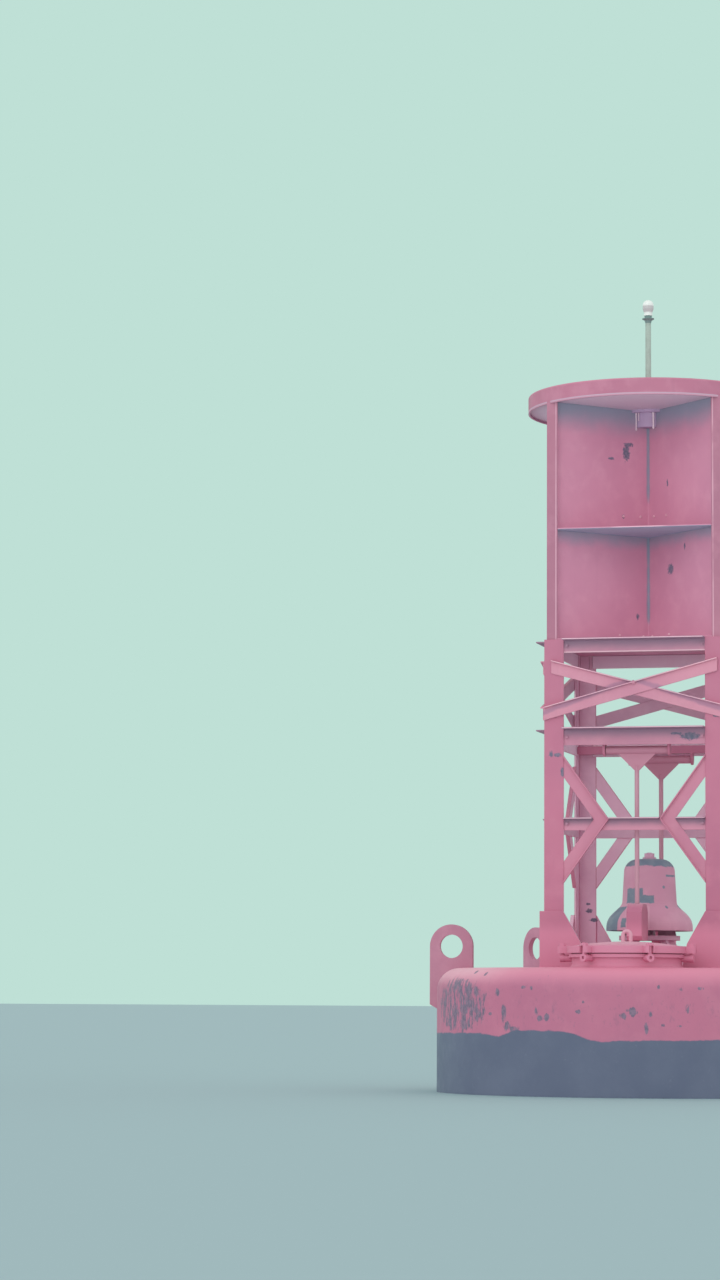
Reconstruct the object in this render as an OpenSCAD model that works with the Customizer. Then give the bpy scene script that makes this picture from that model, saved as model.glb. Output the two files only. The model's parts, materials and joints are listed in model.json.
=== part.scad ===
// Lighted bell buoy: drum hull, square steel tower with crossed radar reflector plates, bell,
// two hinged tappers and a small lantern. Millimetres, +Z up, -Y is the front face.
// The origin is on the buoy's axis at the waterline.

/* [Hull] */
// Diameter of the hull drum
hull_d = 2438; // [2350:1:2600]
// Height of the deck above the waterline
deck_z = 703; // [680:1:730]
// Radius of the rounded deck edge
deck_round = 127; // [90:1:140]
// Depth of the straight hull side below the waterline
side_depth = 825; // [700:1:950]
// Height of the coned hull bottom
cone_h = 170; // [120:1:220]
// Diameter of the flat in the middle of the hull bottom
bottom_d = 1100; // [1000:1:1200]

/* [Counterweight] */
// Diameter of the counterweight tube
tube_d = 720; // [600:1:800]
// Length of the counterweight tube
tube_l = 1856; // [1600:1:2100]
// Diameter of the cast counterweight
weight_d = 900; // [850:1:980]
// Height of the cast counterweight
weight_h = 480; // [380:1:560]
// Chamfer on both edges of the counterweight
weight_chamfer = 40; // [20:1:60]

/* [Lugs] */
// Width of a lifting lug, which is also the diameter of its round head
lug_w = 254; // [230:1:270]
// Thickness of a lifting lug
lug_t = 30; // [24:1:40]
// Diameter of the lifting hole
lug_hole_d = 136; // [116:1:146]
// Distance that a lifting lug stands out from the hull side
lug_out = 71; // [50:1:90]
// Height of the lifting hole's centre above the deck
lug_rise = 129; // [110:1:150]
// Height above the water where the outer edge of a lifting lug ends
lug_foot_z = 496; // [440:1:540]
// Height of the slope from there back to the hull side
lug_foot_slope = 41; // [30:1:80]
// Width of a mooring lug, which is also the diameter of its round end
mooring_w = 180; // [160:1:210]
// Thickness of a mooring lug
mooring_t = 40; // [30:1:50]
// Diameter of the mooring hole
mooring_hole_d = 76; // [60:1:90]
// Distance of the mooring holes inside the hull's side
mooring_in = 219; // [140:1:300]
// Depth of the mooring hole's centre below the flat of the hull bottom
mooring_drop = 30; // [10:1:60]

/* [Tower] */
// Outer width across the legs
tower_w = 1030; // [1000:1:1060]
// Height of the top of the legs above the waterline
tower_top_z = 2562; // [2540:1:2600]
// Width of a leg angle
leg_w = 112; // [100:1:120]
// Thickness of a leg angle
leg_t = 12; // [8:1:14]
// Thickness of the foot plates on the outside of each leg
foot_t = 22; // [12:1:26]
// Height of the foot plates
foot_h = 320; // [280:1:340]
// Height of the knee in a foot plate's sloping edge
foot_knee_h = 137; // [110:1:160]
// Distance that the knee lies beyond the leg's edge
foot_knee_w = 104; // [80:1:115]
// Distance that the bottom of a foot plate lies beyond the leg's edge
foot_w = 130; // [110:1:150]

/* [Beams] */
// Thickness of the beam angles
beam_t = 8; // [6:1:10]
// Length of a beam's web that lies behind a leg at each end
beam_lap = 20; // [10:1:35]
// Distance that the flanges of the top and lower beams stand out from the legs
beam_out = 70; // [50:1:80]
// Height of the top beams
top_beam_h = 76; // [70:1:90]
// Top of the lower beams above the waterline
lower_beam_z = 2057; // [2040:1:2080]
// Height of the lower beams
lower_beam_h = 97; // [85:1:105]
// Top of the middle bars above the waterline
mid_bar_z = 1549; // [1530:1:1565]
// Height of the middle bars
mid_bar_h = 71; // [60:1:80]
// Distance that the flanges of the middle bars stand out from the legs
mid_bar_out = 30; // [20:1:40]

/* [Braces] */
// Thickness of the brace angles
brace_t = 7; // [5:1:9]
// Distance that a brace's lip stands out from its web
brace_lip = 16; // [12:1:24]
// Width of a cross brace
x_brace_w = 72; // [60:1:78]
// Distance of a cross brace's high end below the top of the legs
x_high_drop = 119; // [100:1:135]
// Height of a cross brace's low end above the top of the lower beams
x_low_rise = 119; // [105:1:135]
// Distance that the high end of a cross brace stops short of the leg's outer edge
x_high_gap = 41; // [30:1:55]
// Width of a knee brace
k_brace_w = 72; // [62:1:80]
// Distance of a knee's point below the top of the middle bar
k_drop = 9; // [0:1:20]
// Distance of a knee's point from the middle of the tower face
k_point_x = 188; // [175:1:205]
// Height from a knee's point to either end of the knee at the leg
k_reach = 298; // [270:1:310]

/* [Reflector] */
// Underside of the round top above the waterline
disc_z = 3935; // [3900:1:3980]
// Diameter of the round top
disc_d = 1396; // [1380:1:1460]
// Height of the round top
disc_h = 85; // [70:1:100]
// Rounding of the round top's upper edge
disc_round = 10; // [5:1:16]
// Distance that the round top's rim hangs below its underside
disc_rim_drop = 12; // [6:1:20]
// Thickness of that rim
disc_rim_t = 10; // [6:1:14]
// Width of a reflector post angle
post_w = 62; // [50:1:70]
// Thickness of a reflector post angle
post_t = 6; // [4:1:8]
// Thickness of the reflector plates
plate_t = 8; // [5:1:10]
// Middle of the level plate between the two tiers above the waterline
mid_plate_z = 3198; // [3150:1:3250]
// Diameter of the mast foot under the round top
mast_foot_d = 165; // [140:1:180]
// Length of the mast foot under the round top
mast_foot_l = 98; // [80:1:120]
// Diameter of the pad that carries the mast foot
mast_pad_d = 240; // [210:1:270]
// Thickness of that pad
mast_pad_t = 15; // [10:1:20]

/* [Mast and lantern] */
// Diameter of the mast
mast_d = 33; // [28:1:40]
// Length of the mast above the round top
mast_l = 440; // [380:1:480]
// Diameter of the lantern's collar
collar_d = 42; // [38:1:48]
// Height of the lantern's collar
collar_h = 44; // [40:1:56]
// Diameter of the flange on the collar
collar_flange_d = 70; // [64:1:76]
// Height of the flange on the collar
collar_flange_h = 4; // [3:1:6]
// Height of the flare under that flange
collar_flare_h = 8; // [5:1:10]
// Height of the cone under that flare
collar_cone_h = 16; // [12:1:20]
// Diameter of the ring at the foot of the lens
lens_ring_d = 50; // [46:1:56]
// Height of that ring
lens_ring_h = 13; // [10:1:16]
// Diameter of the lens just above that ring
lens_neck_d = 44; // [40:1:46]
// Height at which the lens reaches its full width
lens_swell_h = 40; // [30:1:50]
// Diameter of the lantern's lens
lens_d = 64; // [60:1:70]
// Height of the lantern's lens with its ring
lens_h = 94; // [86:1:110]

/* [Bell] */
// Radius of the bell's lip
lip_r = 248; // [240:1:255]
// Radius of the bell's waist above the flare
waist_r = 156; // [150:1:162]
// Radius of the bell at its shoulder
shoulder_r = 146; // [140:1:149]
// Height of the lip above the waterline
lip_z = 922; // [915:1:935]
// Height of the bell from lip to crown
bell_h = 411; // [395:1:430]
// Height of the flare at the mouth
flare_h = 165; // [155:1:175]
// How far the bend of the flare lies towards the waist, where 1 is halfway
flare_lean = 1.62; // [1.3:0.01:1.8]
// Thickness of the bell's wall
bell_t = 24; // [18:1:26]
// Thickness of the bell's crown
crown_t = 30; // [24:1:40]
// Rounding of the bell's shoulder
shoulder_round = 75; // [60:1:80]

/* [Bell stand] */
// Diameter of the round base plate
base_d = 350; // [320:1:360]
// Thickness of the base plate
base_t = 26; // [20:1:30]
// Gap between the base plate and the bell's lip
base_gap = 28; // [20:1:35]
// Thickness of the stand's upright plates
rib_t = 18; // [14:1:24]
// Width of an upright plate at its foot
rib_foot_w = 310; // [290:1:315]
// Width of an upright plate at its top
rib_top_w = 116; // [100:1:126]
// Width of the arch in the upright plates
arch_w = 100; // [70:1:110]
// Height of the arch's straight sides
arch_h = 30; // [20:1:60]
// Diameter of the head plate under the crown
head_d = 128; // [118:1:130]
// Thickness of the head plate
head_t = 24; // [18:1:30]
// Diameter of the stud through the crown
stud_d = 30; // [24:1:36]
// Diameter of the washer on the crown
crown_washer_d = 78; // [70:1:88]
// Thickness of that washer
crown_washer_t = 11; // [8:1:14]
// Height of the nut on that washer
crown_nut_h = 23; // [20:1:28]
// Distance across the flats of that nut
crown_nut_w = 50; // [44:1:56]
// Distance of a stand leg's foot from the buoy's axis
stand_foot_r = 235; // [215:1:255]
// Width of a stand leg's foot
stand_foot_w = 60; // [40:1:70]

/* [Tappers] */
// Distance of the tappers from the buoy's axis
tapper_y = 420; // [415:1:430]
// Height of the tapper hinges above the waterline
hinge_z = 1934; // [1928:1:1937]
// Diameter of the hinge pin
pin_d = 24; // [20:1:28]
// Outer diameter of the hinge barrel
barrel_d = 46; // [42:1:52]
// Length of the hinge barrel
barrel_l = 350; // [320:1:370]
// Width of the hinge plate
hinge_w = 210; // [190:1:230]
// Thickness of the hinge plate
hinge_t = 16; // [12:1:20]
// Gap between the barrel and each ear
hinge_gap = 3; // [2:0.5:5]
// Diameter of the tapper's rod
rod_d = 26; // [22:1:32]
// Width of the tapper's head
head_w = 86; // [80:1:96]
// Depth of the tapper's head, from face to face
head_l = 210; // [200:1:216]
// Height of the bottom of the tapper's head above the waterline
head_z = 860; // [857:1:880]
// Height of the tapper's head
head_h = 205; // [180:1:220]
// Chamfer at the foot of the tapper's head
head_chamfer = 24; // [16:1:32]
// Depth of the tapper's head at its top
head_top_l = 120; // [100:1:140]
// Height of the sloping top of the tapper's head
head_slope_h = 45; // [35:1:60]
// Width of the hanger's channel
hanger_w = 64; // [58:1:72]
// Height of the hanger's channel
hanger_h = 45; // [35:1:55]
// Height of the hanger's channel above the foot of the lower beams
hanger_rise = 10; // [6:1:20]
// Thickness of the hanger's ears
ear_t = 14; // [10:1:18]

/* [Hatches] */
// Distance of a hatch's middle inside the hull's side
hatch_in = 459; // [450:1:470]
// Diameter of a hatch's coaming
coaming_d = 610; // [590:1:620]
// Diameter of the coaming's flange
coaming_flange_d = 644; // [635:1:652]
// Thickness of the coaming's flange
coaming_flange_t = 18; // [12:1:22]
// Radius of the fillet between the coaming and the deck
coaming_fillet = 24; // [12:1:26]
// Height of the lid's rim above the deck
lid_rise = 118; // [112:1:126]
// Height of the lid's rim
lid_t = 38; // [30:1:42]
// Height of the lid's dished top above its rim
lid_dome = 28; // [16:1:36]
// Diameter of the lid
lid_d = 664; // [655:1:675]
// Thickness of the seal between the lid and the coaming
seal_t = 6; // [4:1:9]
// Width of the seal
seal_w = 24; // [18:1:30]
// Distance of the lid bolts from the hatch's middle
dog_r = 362; // [356:1:368]
// Diameter of a lid bolt
dog_d = 22; // [18:1:24]
// Radius of the ears on the lid's edge
dog_ear_r = 28; // [26:1:32]
// Outer diameter of the eye on a lid bolt
eye_d = 44; // [40:1:48]
// Diameter of the hole in that eye
eye_hole_d = 18; // [14:1:20]
// Thickness of that eye
eye_t = 24; // [20:1:26]
// Depth of the eye's middle below the top of the lid's rim
eye_drop = 65; // [62:1:70]
// Height of a lid bolt's nut
dog_nut_h = 13; // [10:1:18]
// Distance across the flats of that nut
dog_nut_w = 36; // [32:1:40]
// Diameter of the bar that the lid's handle is bent from
handle_d = 22; // [18:1:24]
// Distance between the middles of the handle's limbs
handle_w = 42; // [38:1:60]
// Height of the handle above the lid
handle_h = 68; // [60:1:80]
// Width of the flat edge round the lid's dished top
lid_edge = 14; // [8:1:24]
// Number of lid bolts
dog_count = 6; // [4:1:8]
// Direction of the first lid bolt from the hatch's middle, in degrees from straight out
dog_start = 30; // [20:1:40]
// Length of a lid bolt above its nut
dog_tip = 4; // [2:1:14]

/* [Fits] */
// Gap between two cross braces where one passes over the other
lap_clear = 0.5; // [0.3:0.1:1]
// Gap round a piece that another is notched for
cope_clear = 1; // [0.5:0.5:3]
// Gap of the upright plates to the mast foot and of the round top's rim to what it is notched for
foot_clear = 0.5; // [0.3:0.1:1]
// Gap round the stud in the bell's crown and nut
stud_clear = 0.5; // [0.3:0.1:1]
// Length of that stud above its nut
crown_stud_top = 4; // [2:1:10]
// Gap between a hinge pin and its barrel
pin_clear = 0.5; // [0.3:0.1:1]
// Gap between a lid bolt and its slot
dog_clear = 2; // [1:0.5:3]
// Gap between a lid bolt's eye and its stud
eye_stud_clear = 0.5; // [0.3:0.1:1]

/* [Hidden] */
$fn = 64;
hull_fn = 128;
SIDES = ["front", "right", "rear", "left"];
CORNERS = ["front_left", "front_right", "rear_right", "rear_left"];
ENDS = ["front", "rear"];
// Lifting lugs: name, direction from the axis in degrees
LUGS = [["right", 0], ["rear_left", 135], ["left", 180], ["front_right", 315]];
lug_name = 0;
lug_turn = 1;

hull_r = hull_d / 2;
bottom_z = -side_depth - cone_h;
lug_mid_r = hull_r + lug_out - lug_w / 2;
lug_hole_z = deck_z + lug_rise;
mooring_hole_z = bottom_z - mooring_drop;
mooring_r = hull_r - mooring_in;

leg_out = tower_w / 2;
leg_in = leg_out - leg_t;
leg_edge = leg_out - leg_w;
beam_half = leg_edge + beam_lap;
over_cut = 1;

x_high_z = tower_top_z - x_high_drop;
x_low_z = lower_beam_z + x_low_rise;
x_inner_y = -leg_out - brace_t;
x_outer_y = x_inner_y - lap_clear - brace_t;

k_y = -leg_in - brace_t;
k_z = mid_bar_z - k_drop;
k_run = leg_edge - k_point_x;
k_slope = k_reach / k_run;

post_foot_z = tower_top_z - top_beam_h;
plate_half = leg_in;
corner_reach = (leg_in - post_t) * sqrt(2);
disc_top_z = disc_z + disc_h;
mast_top_z = disc_top_z + mast_l;
lens_z = mast_top_z + collar_h;

crown_z = lip_z + bell_h;
base_top_z = lip_z - base_gap;
base_z = base_top_z - base_t;
base_mid_z = base_top_z - base_t / 2;
head_top_z = crown_z - crown_t;
bell_steps = 12;

ear_x = barrel_l / 2 + hinge_gap;
hanger_z = lower_beam_z - lower_beam_h + hanger_rise;

hatch_y = hull_r - hatch_in;
lid_z = deck_z + lid_rise;
lid_under_z = lid_z - lid_t;
coaming_top_z = lid_under_z - seal_t;
eye_z = lid_z - eye_drop;

function names(stem, ends) = [for (e = ends) str(stem, "_", e)];

// Turns what is drawn on the front face to the tower face with the given number
module on_side(k) {
    rotate([0, 0, 90 * k]) children();
}

// Turns what is drawn at the front to the front or the rear
module on_end(k) {
    rotate([0, 0, 180 * k]) children();
}

// Plate parallel to the front face: its outline runs across and up, from y0 back to y1
module face_plate(y0, y1) {
    translate([0, y1, 0]) rotate([90, 0, 0]) linear_extrude(y1 - y0) children();
}

// Plate in a plane through the buoy's axis: its outline runs outward and up
module radial_plate(turn, t) {
    rotate([0, 0, turn]) translate([0, t / 2, 0]) rotate([90, 0, 0]) linear_extrude(t) children();
}

// Bar along X: its outline runs back and up
module cross_bar(x0, x1) {
    translate([x0, 0, 0]) rotate([90, 0, 90]) linear_extrude(x1 - x0) children();
}

// Outline of an angle with its outer corner at -c, -c
module corner_angle(c, w, t) {
    translate([-c, -c]) difference() {
        square(w);
        translate([t, t]) square(w);
    }
}

// Distance across the corners of a hexagon with w across its flats
function hex_corners(w) = w / cos(30);

// Solid of revolution of the hull
module hull_body() {
    rotate_extrude($fn = hull_fn) {
        polygon([
            [0, bottom_z],
            [bottom_d / 2, bottom_z],
            [hull_r, -side_depth],
            [hull_r, deck_z - deck_round],
            [hull_r - deck_round, deck_z],
            [0, deck_z]
        ]);
        translate([hull_r - deck_round, deck_z - deck_round]) intersection() {
            circle(deck_round);
            square(deck_round);
        }
    }
}

module hull_drum() {
    color("firebrick") hull_body();
}

module counterweight_tube() {
    color("dimgray") translate([0, 0, bottom_z - tube_l]) cylinder(d = tube_d, h = tube_l);
}

module counterweight() {
    c = weight_chamfer;
    r = weight_d / 2;
    color("dimgray") translate([0, 0, bottom_z - tube_l - weight_h]) rotate_extrude()
        polygon([[0, 0], [r - c, 0], [r, c], [r, weight_h - c], [r - c, weight_h], [0, weight_h]]);
}

module mooring_lug(k) {
    color("dimgray") on_end(k) difference() {
        radial_plate(-90, mooring_t) difference() {
            union() {
                translate([mooring_r, mooring_hole_z]) circle(d = mooring_w);
                translate([mooring_r - mooring_w / 2, mooring_hole_z])
                    square([mooring_w, -side_depth - mooring_hole_z]);
            }
            translate([mooring_r, mooring_hole_z]) circle(d = mooring_hole_d);
        }
        hull_body();
    }
}

module lifting_lug(turn) {
    color("firebrick") difference() {
        radial_plate(turn, lug_t) difference() {
            union() {
                translate([lug_mid_r, lug_hole_z]) circle(d = lug_w);
                polygon([
                    [lug_mid_r - lug_w / 2, deck_z - deck_round],
                    [hull_r, deck_z - deck_round],
                    [hull_r, lug_foot_z - lug_foot_slope],
                    [lug_mid_r + lug_w / 2, lug_foot_z],
                    [lug_mid_r + lug_w / 2, lug_hole_z],
                    [lug_mid_r - lug_w / 2, lug_hole_z]
                ]);
            }
            translate([lug_mid_r, lug_hole_z]) circle(d = lug_hole_d);
        }
        hull_body();
    }
}

// Outline of a foot plate, from the tower's corner inward
module foot_outline(reach) {
    polygon([
        [-reach, deck_z],
        [-leg_edge + foot_w, deck_z],
        [-leg_edge + foot_knee_w, deck_z + foot_knee_h],
        [-leg_edge, deck_z + foot_h],
        [-reach, deck_z + foot_h]
    ]);
}

module leg(k) {
    color("crimson") on_side(k) {
        translate([0, 0, deck_z]) linear_extrude(tower_top_z - deck_z) corner_angle(leg_out, leg_w, leg_t);
        face_plate(-leg_out - foot_t, -leg_out) foot_outline(leg_out + foot_t);
        on_side(-1) mirror([1, 0, 0]) face_plate(-leg_out - foot_t, -leg_out) foot_outline(leg_out);
    }
}

// Angle between two legs: web behind the legs, flange at its top pointing outward
module beam(top_z, h, out) {
    face_plate(-leg_in, -leg_in + beam_t)
        translate([-beam_half, top_z - h]) square([2 * beam_half, h]);
    face_plate(-out, -leg_in)
        translate([-leg_edge, top_z - beam_t]) square([2 * leg_edge, beam_t]);
}

module top_beam(k) {
    color("crimson") on_side(k) beam(tower_top_z, top_beam_h, leg_out + beam_out);
}

module lower_beam(k) {
    color("crimson") on_side(k) beam(lower_beam_z, lower_beam_h, leg_out + beam_out);
}

module mid_bar(k) {
    out = leg_out + mid_bar_out;
    color("crimson") on_side(k) difference() {
        beam(mid_bar_z, mid_bar_h, out);
        k_pair(-out - over_cut, -leg_in) k_outline(-k_brace_w / 2 - cope_clear, k_brace_w / 2 + cope_clear);
    }
}

// Outline of one cross brace, w wide, with its low end at the left
module x_outline(w) {
    low_x = -leg_out;
    high_x = leg_out - x_high_gap;
    slope = (x_high_z - x_low_z) / (high_x - low_x);
    drop = w * sqrt(1 + slope * slope);
    polygon([[low_x, x_low_z], [high_x, x_high_z], [high_x, x_high_z - drop], [low_x, x_low_z - drop]]);
}

// Cross brace angle with its web from y back by the brace's thickness
module x_member(y) {
    face_plate(y, y + brace_t) x_outline(x_brace_w);
    face_plate(y - brace_lip, y) x_outline(brace_t);
}

// Packing between the outer cross brace and the legs
module x_packing() {
    face_plate(x_outer_y + brace_t, -leg_out) intersection() {
        x_outline(x_brace_w);
        for (m = [0, 1]) mirror([m, 0]) translate([leg_edge, 0]) square([leg_w, tower_top_z]);
    }
}

module x_brace(k) {
    color("crimson") on_side(k) {
        x_member(x_outer_y);
        x_packing();
        difference() {
            mirror([1, 0, 0]) x_member(x_inner_y);
            face_plate(x_outer_y - brace_lip, x_inner_y) offset(delta = cope_clear) x_outline(x_brace_w);
        }
    }
}

// Ends of one edge of a knee's upper or lower half, moved sideways by s: at the leg and at the knee's point
function k_edge(s, up) =
    let (point_x = k_point_x - s * norm([k_slope, 1]) / k_slope)
    [[-leg_edge, k_z + up * (leg_edge - point_x) * k_slope], [-point_x, k_z]];

// Outline of the left knee between two lines moved sideways by s0 and s1
module k_outline(s0, s1) {
    polygon([
        k_edge(s1, 1)[0],
        k_edge(s1, 1)[1],
        k_edge(s1, -1)[0],
        k_edge(s0, -1)[0],
        k_edge(s0, 1)[1],
        k_edge(s0, 1)[0]
    ]);
}

// Left and right copies of a knee outline, from y0 back to y1
module k_pair(y0, y1) {
    for (m = [0, 1]) mirror([m, 0, 0]) face_plate(y0, y1) children();
}

module k_brace(k) {
    color("crimson") on_side(k) {
        k_pair(k_y, -leg_in) k_outline(-k_brace_w / 2, k_brace_w / 2);
        k_pair(k_y - brace_lip, k_y) k_outline(k_brace_w / 2 - brace_t, k_brace_w / 2);
    }
}

module reflector_post(k) {
    color("crimson") on_side(k) translate([0, 0, post_foot_z])
        linear_extrude(disc_z - post_foot_z) corner_angle(leg_in, post_w, post_t);
}

// Level square plate between the posts, from z up by the plate's thickness
module level_plate(z) {
    color("crimson") translate([0, 0, z]) linear_extrude(plate_t) difference() {
        square(2 * plate_half, center = true);
        for (k = [0:3]) rotate(90 * k) corner_angle(leg_in, post_w, post_t);
    }
}

module reflector_bottom_plate() {
    level_plate(tower_top_z);
}

module reflector_mid_plate() {
    level_plate(mid_plate_z - plate_t / 2);
}

// Outline from above of an upright plate, from x = start out to the corner of a post
module panel_outline(start) {
    h = plate_t / 2;
    polygon([[start, -h], [corner_reach - h, -h], [corner_reach, 0], [corner_reach - h, h], [start, h]]);
}

// Mast foot and its pad, larger all round by grow
module mast_foot_body(grow) {
    for (s = [[mast_foot_d, mast_foot_l], [mast_pad_d, mast_pad_t]])
        translate([0, 0, disc_z - s[1] - grow]) cylinder(d = s[0] + 2 * grow, h = s[1] + grow);
}

// Both tiers of upright plate with the outline given, cut round the mast foot
module panel_tiers() {
    low_z = tower_top_z + plate_t;
    mid_z = mid_plate_z - plate_t / 2;
    color("crimson") difference() {
        union() {
            translate([0, 0, low_z]) linear_extrude(mid_z - low_z) children();
            translate([0, 0, mid_z + plate_t]) linear_extrude(disc_z - mid_z - plate_t) children();
        }
        mast_foot_body(foot_clear);
    }
}

module reflector_panel_main() {
    panel_tiers() rotate(45) {
        panel_outline(0);
        rotate(180) panel_outline(0);
    }
}

module reflector_panel_cross() {
    panel_tiers() rotate(135) {
        panel_outline(plate_t / 2);
        rotate(180) panel_outline(plate_t / 2);
    }
}

// Outline from above of the posts and upright plates that end under the round top
module post_tops() {
    for (k = [0:3]) rotate(90 * k) {
        corner_angle(leg_in, post_w, post_t);
        rotate(45) translate([0, -plate_t / 2]) square([leg_out * sqrt(2), plate_t]);
    }
}

module top_disc() {
    r = disc_d / 2;
    c = disc_round;
    color("crimson") translate([0, 0, disc_z]) difference() {
        rotate_extrude($fn = hull_fn) {
            square([r - c, disc_h]);
            square([r, disc_h - c]);
            translate([r - c, disc_h - c]) circle(c);
            translate([r - disc_rim_t, -disc_rim_drop]) square([disc_rim_t, disc_rim_drop + disc_rim_t]);
        }
        translate([0, 0, -disc_rim_drop - over_cut]) linear_extrude(disc_rim_drop + over_cut)
            offset(delta = foot_clear) post_tops();
    }
}

module mast_foot() {
    color("crimson") mast_foot_body(0);
}

module mast() {
    color("darkseagreen") translate([0, 0, disc_top_z]) cylinder(d = mast_d, h = mast_l);
}

module lantern_collar() {
    color("darkslategray") translate([0, 0, mast_top_z]) {
        cylinder(d1 = mast_d, d2 = collar_d, h = collar_cone_h);
        translate([0, 0, collar_cone_h]) cylinder(d1 = collar_d, d2 = collar_flange_d, h = collar_flare_h);
        translate([0, 0, collar_cone_h + collar_flare_h]) cylinder(d = collar_flange_d, h = collar_flange_h);
        translate([0, 0, collar_cone_h]) cylinder(d = collar_d, h = collar_h - collar_cone_h);
    }
}

module lantern_lens() {
    r = lens_d / 2;
    color("honeydew") translate([0, 0, lens_z]) rotate_extrude() {
        square([lens_ring_d / 2, lens_ring_h]);
        polygon([
            [0, lens_ring_h],
            [lens_neck_d / 2, lens_ring_h],
            [r, lens_swell_h],
            [r, lens_h - r],
            [0, lens_h - r]
        ]);
        translate([0, lens_h - r]) intersection() {
            circle(r);
            square(r);
        }
    }
}

// Radius of the bell's outside at height h above the lip, up to the top of the flare
function bell_r(h) = waist_r + (lip_r - waist_r) * (1 + cos(180 * pow(h / flare_h, flare_lean))) / 2;

// Outline of the bell filled in, moved inward by t, with its crown at height h
module bell_outline(t, h) {
    c = shoulder_round - t;
    rise = flare_h / bell_steps;
    turn = 90 / bell_steps;
    polygon(concat(
        [[0, 0]],
        [for (i = [0:bell_steps]) [bell_r(i * rise) - t, i * rise]],
        [for (i = [0:bell_steps]) [shoulder_r - t - c + c * cos(i * turn), h - c + c * sin(i * turn)]],
        [[0, h]]
    ));
}

module bell() {
    color("firebrick") translate([0, 0, lip_z]) difference() {
        rotate_extrude() difference() {
            bell_outline(0, bell_h);
            bell_outline(bell_t, bell_h - crown_t);
        }
        cylinder(d = stud_d + 2 * stud_clear, h = bell_h + crown_t);
    }
}

module bell_nut() {
    nut_top = crown_washer_t + crown_nut_h;
    color("crimson") translate([0, 0, crown_z]) difference() {
        union() {
            cylinder(d = crown_washer_d, h = crown_washer_t);
            cylinder(d = hex_corners(crown_nut_w), h = nut_top, $fn = 6);
        }
        cylinder(d = stud_d + 2 * stud_clear, h = nut_top);
    }
}

// Outline of an upright plate of the stand, with its arch
module rib_outline() {
    top_z = head_top_z - head_t;
    difference() {
        polygon([
            [-rib_foot_w / 2, base_top_z],
            [rib_foot_w / 2, base_top_z],
            [rib_top_w / 2, top_z],
            [-rib_top_w / 2, top_z]
        ]);
        translate([-arch_w / 2, base_top_z]) square([arch_w, arch_h]);
        translate([0, base_top_z + arch_h]) circle(d = arch_w);
    }
}

module bell_stand() {
    color("crimson") {
        translate([0, 0, base_z]) cylinder(d = base_d, h = base_t);
        for (turn = [0, 90]) radial_plate(turn, rib_t) rib_outline();
        translate([0, 0, head_top_z - head_t]) cylinder(d = head_d, h = head_t);
        translate([0, 0, head_top_z])
            cylinder(d = stud_d, h = crown_t + crown_washer_t + crown_nut_h + crown_stud_top);
        for (turn = [45:90:315]) radial_plate(turn, rib_t) polygon([
            [stand_foot_r, deck_z],
            [stand_foot_r + stand_foot_w, deck_z],
            [base_d / 2 - rib_t, base_mid_z],
            [base_d / 2 - rib_t - stand_foot_w, base_mid_z]
        ]);
    }
}

module tapper_hanger(k) {
    color("crimson") on_end(k) translate([0, -tapper_y, 0]) {
        cross_bar(-leg_in + beam_t, leg_in - beam_t) translate([-hanger_w / 2, hanger_z]) difference() {
            square([hanger_w, hanger_h]);
            translate([beam_t, beam_t]) square([hanger_w - 2 * beam_t, hanger_h]);
        }
        for (m = [0, 1]) mirror([m, 0, 0]) cross_bar(ear_x, ear_x + ear_t) {
            translate([-hanger_w / 2, hinge_z]) square([hanger_w, hanger_z - hinge_z]);
            translate([0, hinge_z]) circle(d = hanger_w);
        }
        cross_bar(-ear_x, ear_x) translate([0, hinge_z]) circle(d = pin_d);
    }
}

module tapper(k) {
    head_y = head_l / 2;
    top_y = head_top_l / 2;
    plate_foot_z = hinge_z - barrel_d / 2 - (hinge_w - rod_d) / 2;
    color("crimson") on_end(k) translate([0, -tapper_y, 0]) difference() {
        union() {
            cross_bar(-barrel_l / 2, barrel_l / 2) translate([0, hinge_z]) circle(d = barrel_d);
            face_plate(-hinge_t / 2, hinge_t / 2) polygon([
                [-rod_d / 2, plate_foot_z],
                [rod_d / 2, plate_foot_z],
                [hinge_w / 2, hinge_z - barrel_d / 2],
                [hinge_w / 2, hinge_z],
                [-hinge_w / 2, hinge_z],
                [-hinge_w / 2, hinge_z - barrel_d / 2]
            ]);
            translate([0, 0, head_z + head_h])
                cylinder(d = rod_d, h = plate_foot_z + rod_d - head_z - head_h);
            cross_bar(-head_w / 2, head_w / 2) polygon([
                [-head_y + head_chamfer, head_z],
                [head_y - head_chamfer, head_z],
                [head_y, head_z + head_chamfer],
                [head_y, head_z + head_h - head_slope_h],
                [top_y, head_z + head_h],
                [-top_y, head_z + head_h],
                [-head_y, head_z + head_h - head_slope_h],
                [-head_y, head_z + head_chamfer]
            ]);
        }
        cross_bar(-barrel_l / 2 - over_cut, barrel_l / 2 + over_cut)
            translate([0, hinge_z]) circle(d = pin_d + 2 * pin_clear);
    }
}

// Puts what is drawn outward from the hatch's middle at each of its lid bolts
module at_dogs() {
    for (i = [0:dog_count - 1]) rotate([0, 0, dog_start - 90 + i * 360 / dog_count]) children();
}

// Level bar along X with its middle at x from x0 to x1, used across the hatch's edge
module out_bar(x0, x1, z, d) {
    translate([x0, 0, z]) rotate([0, 90, 0]) cylinder(d = d, h = x1 - x0);
}

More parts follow.
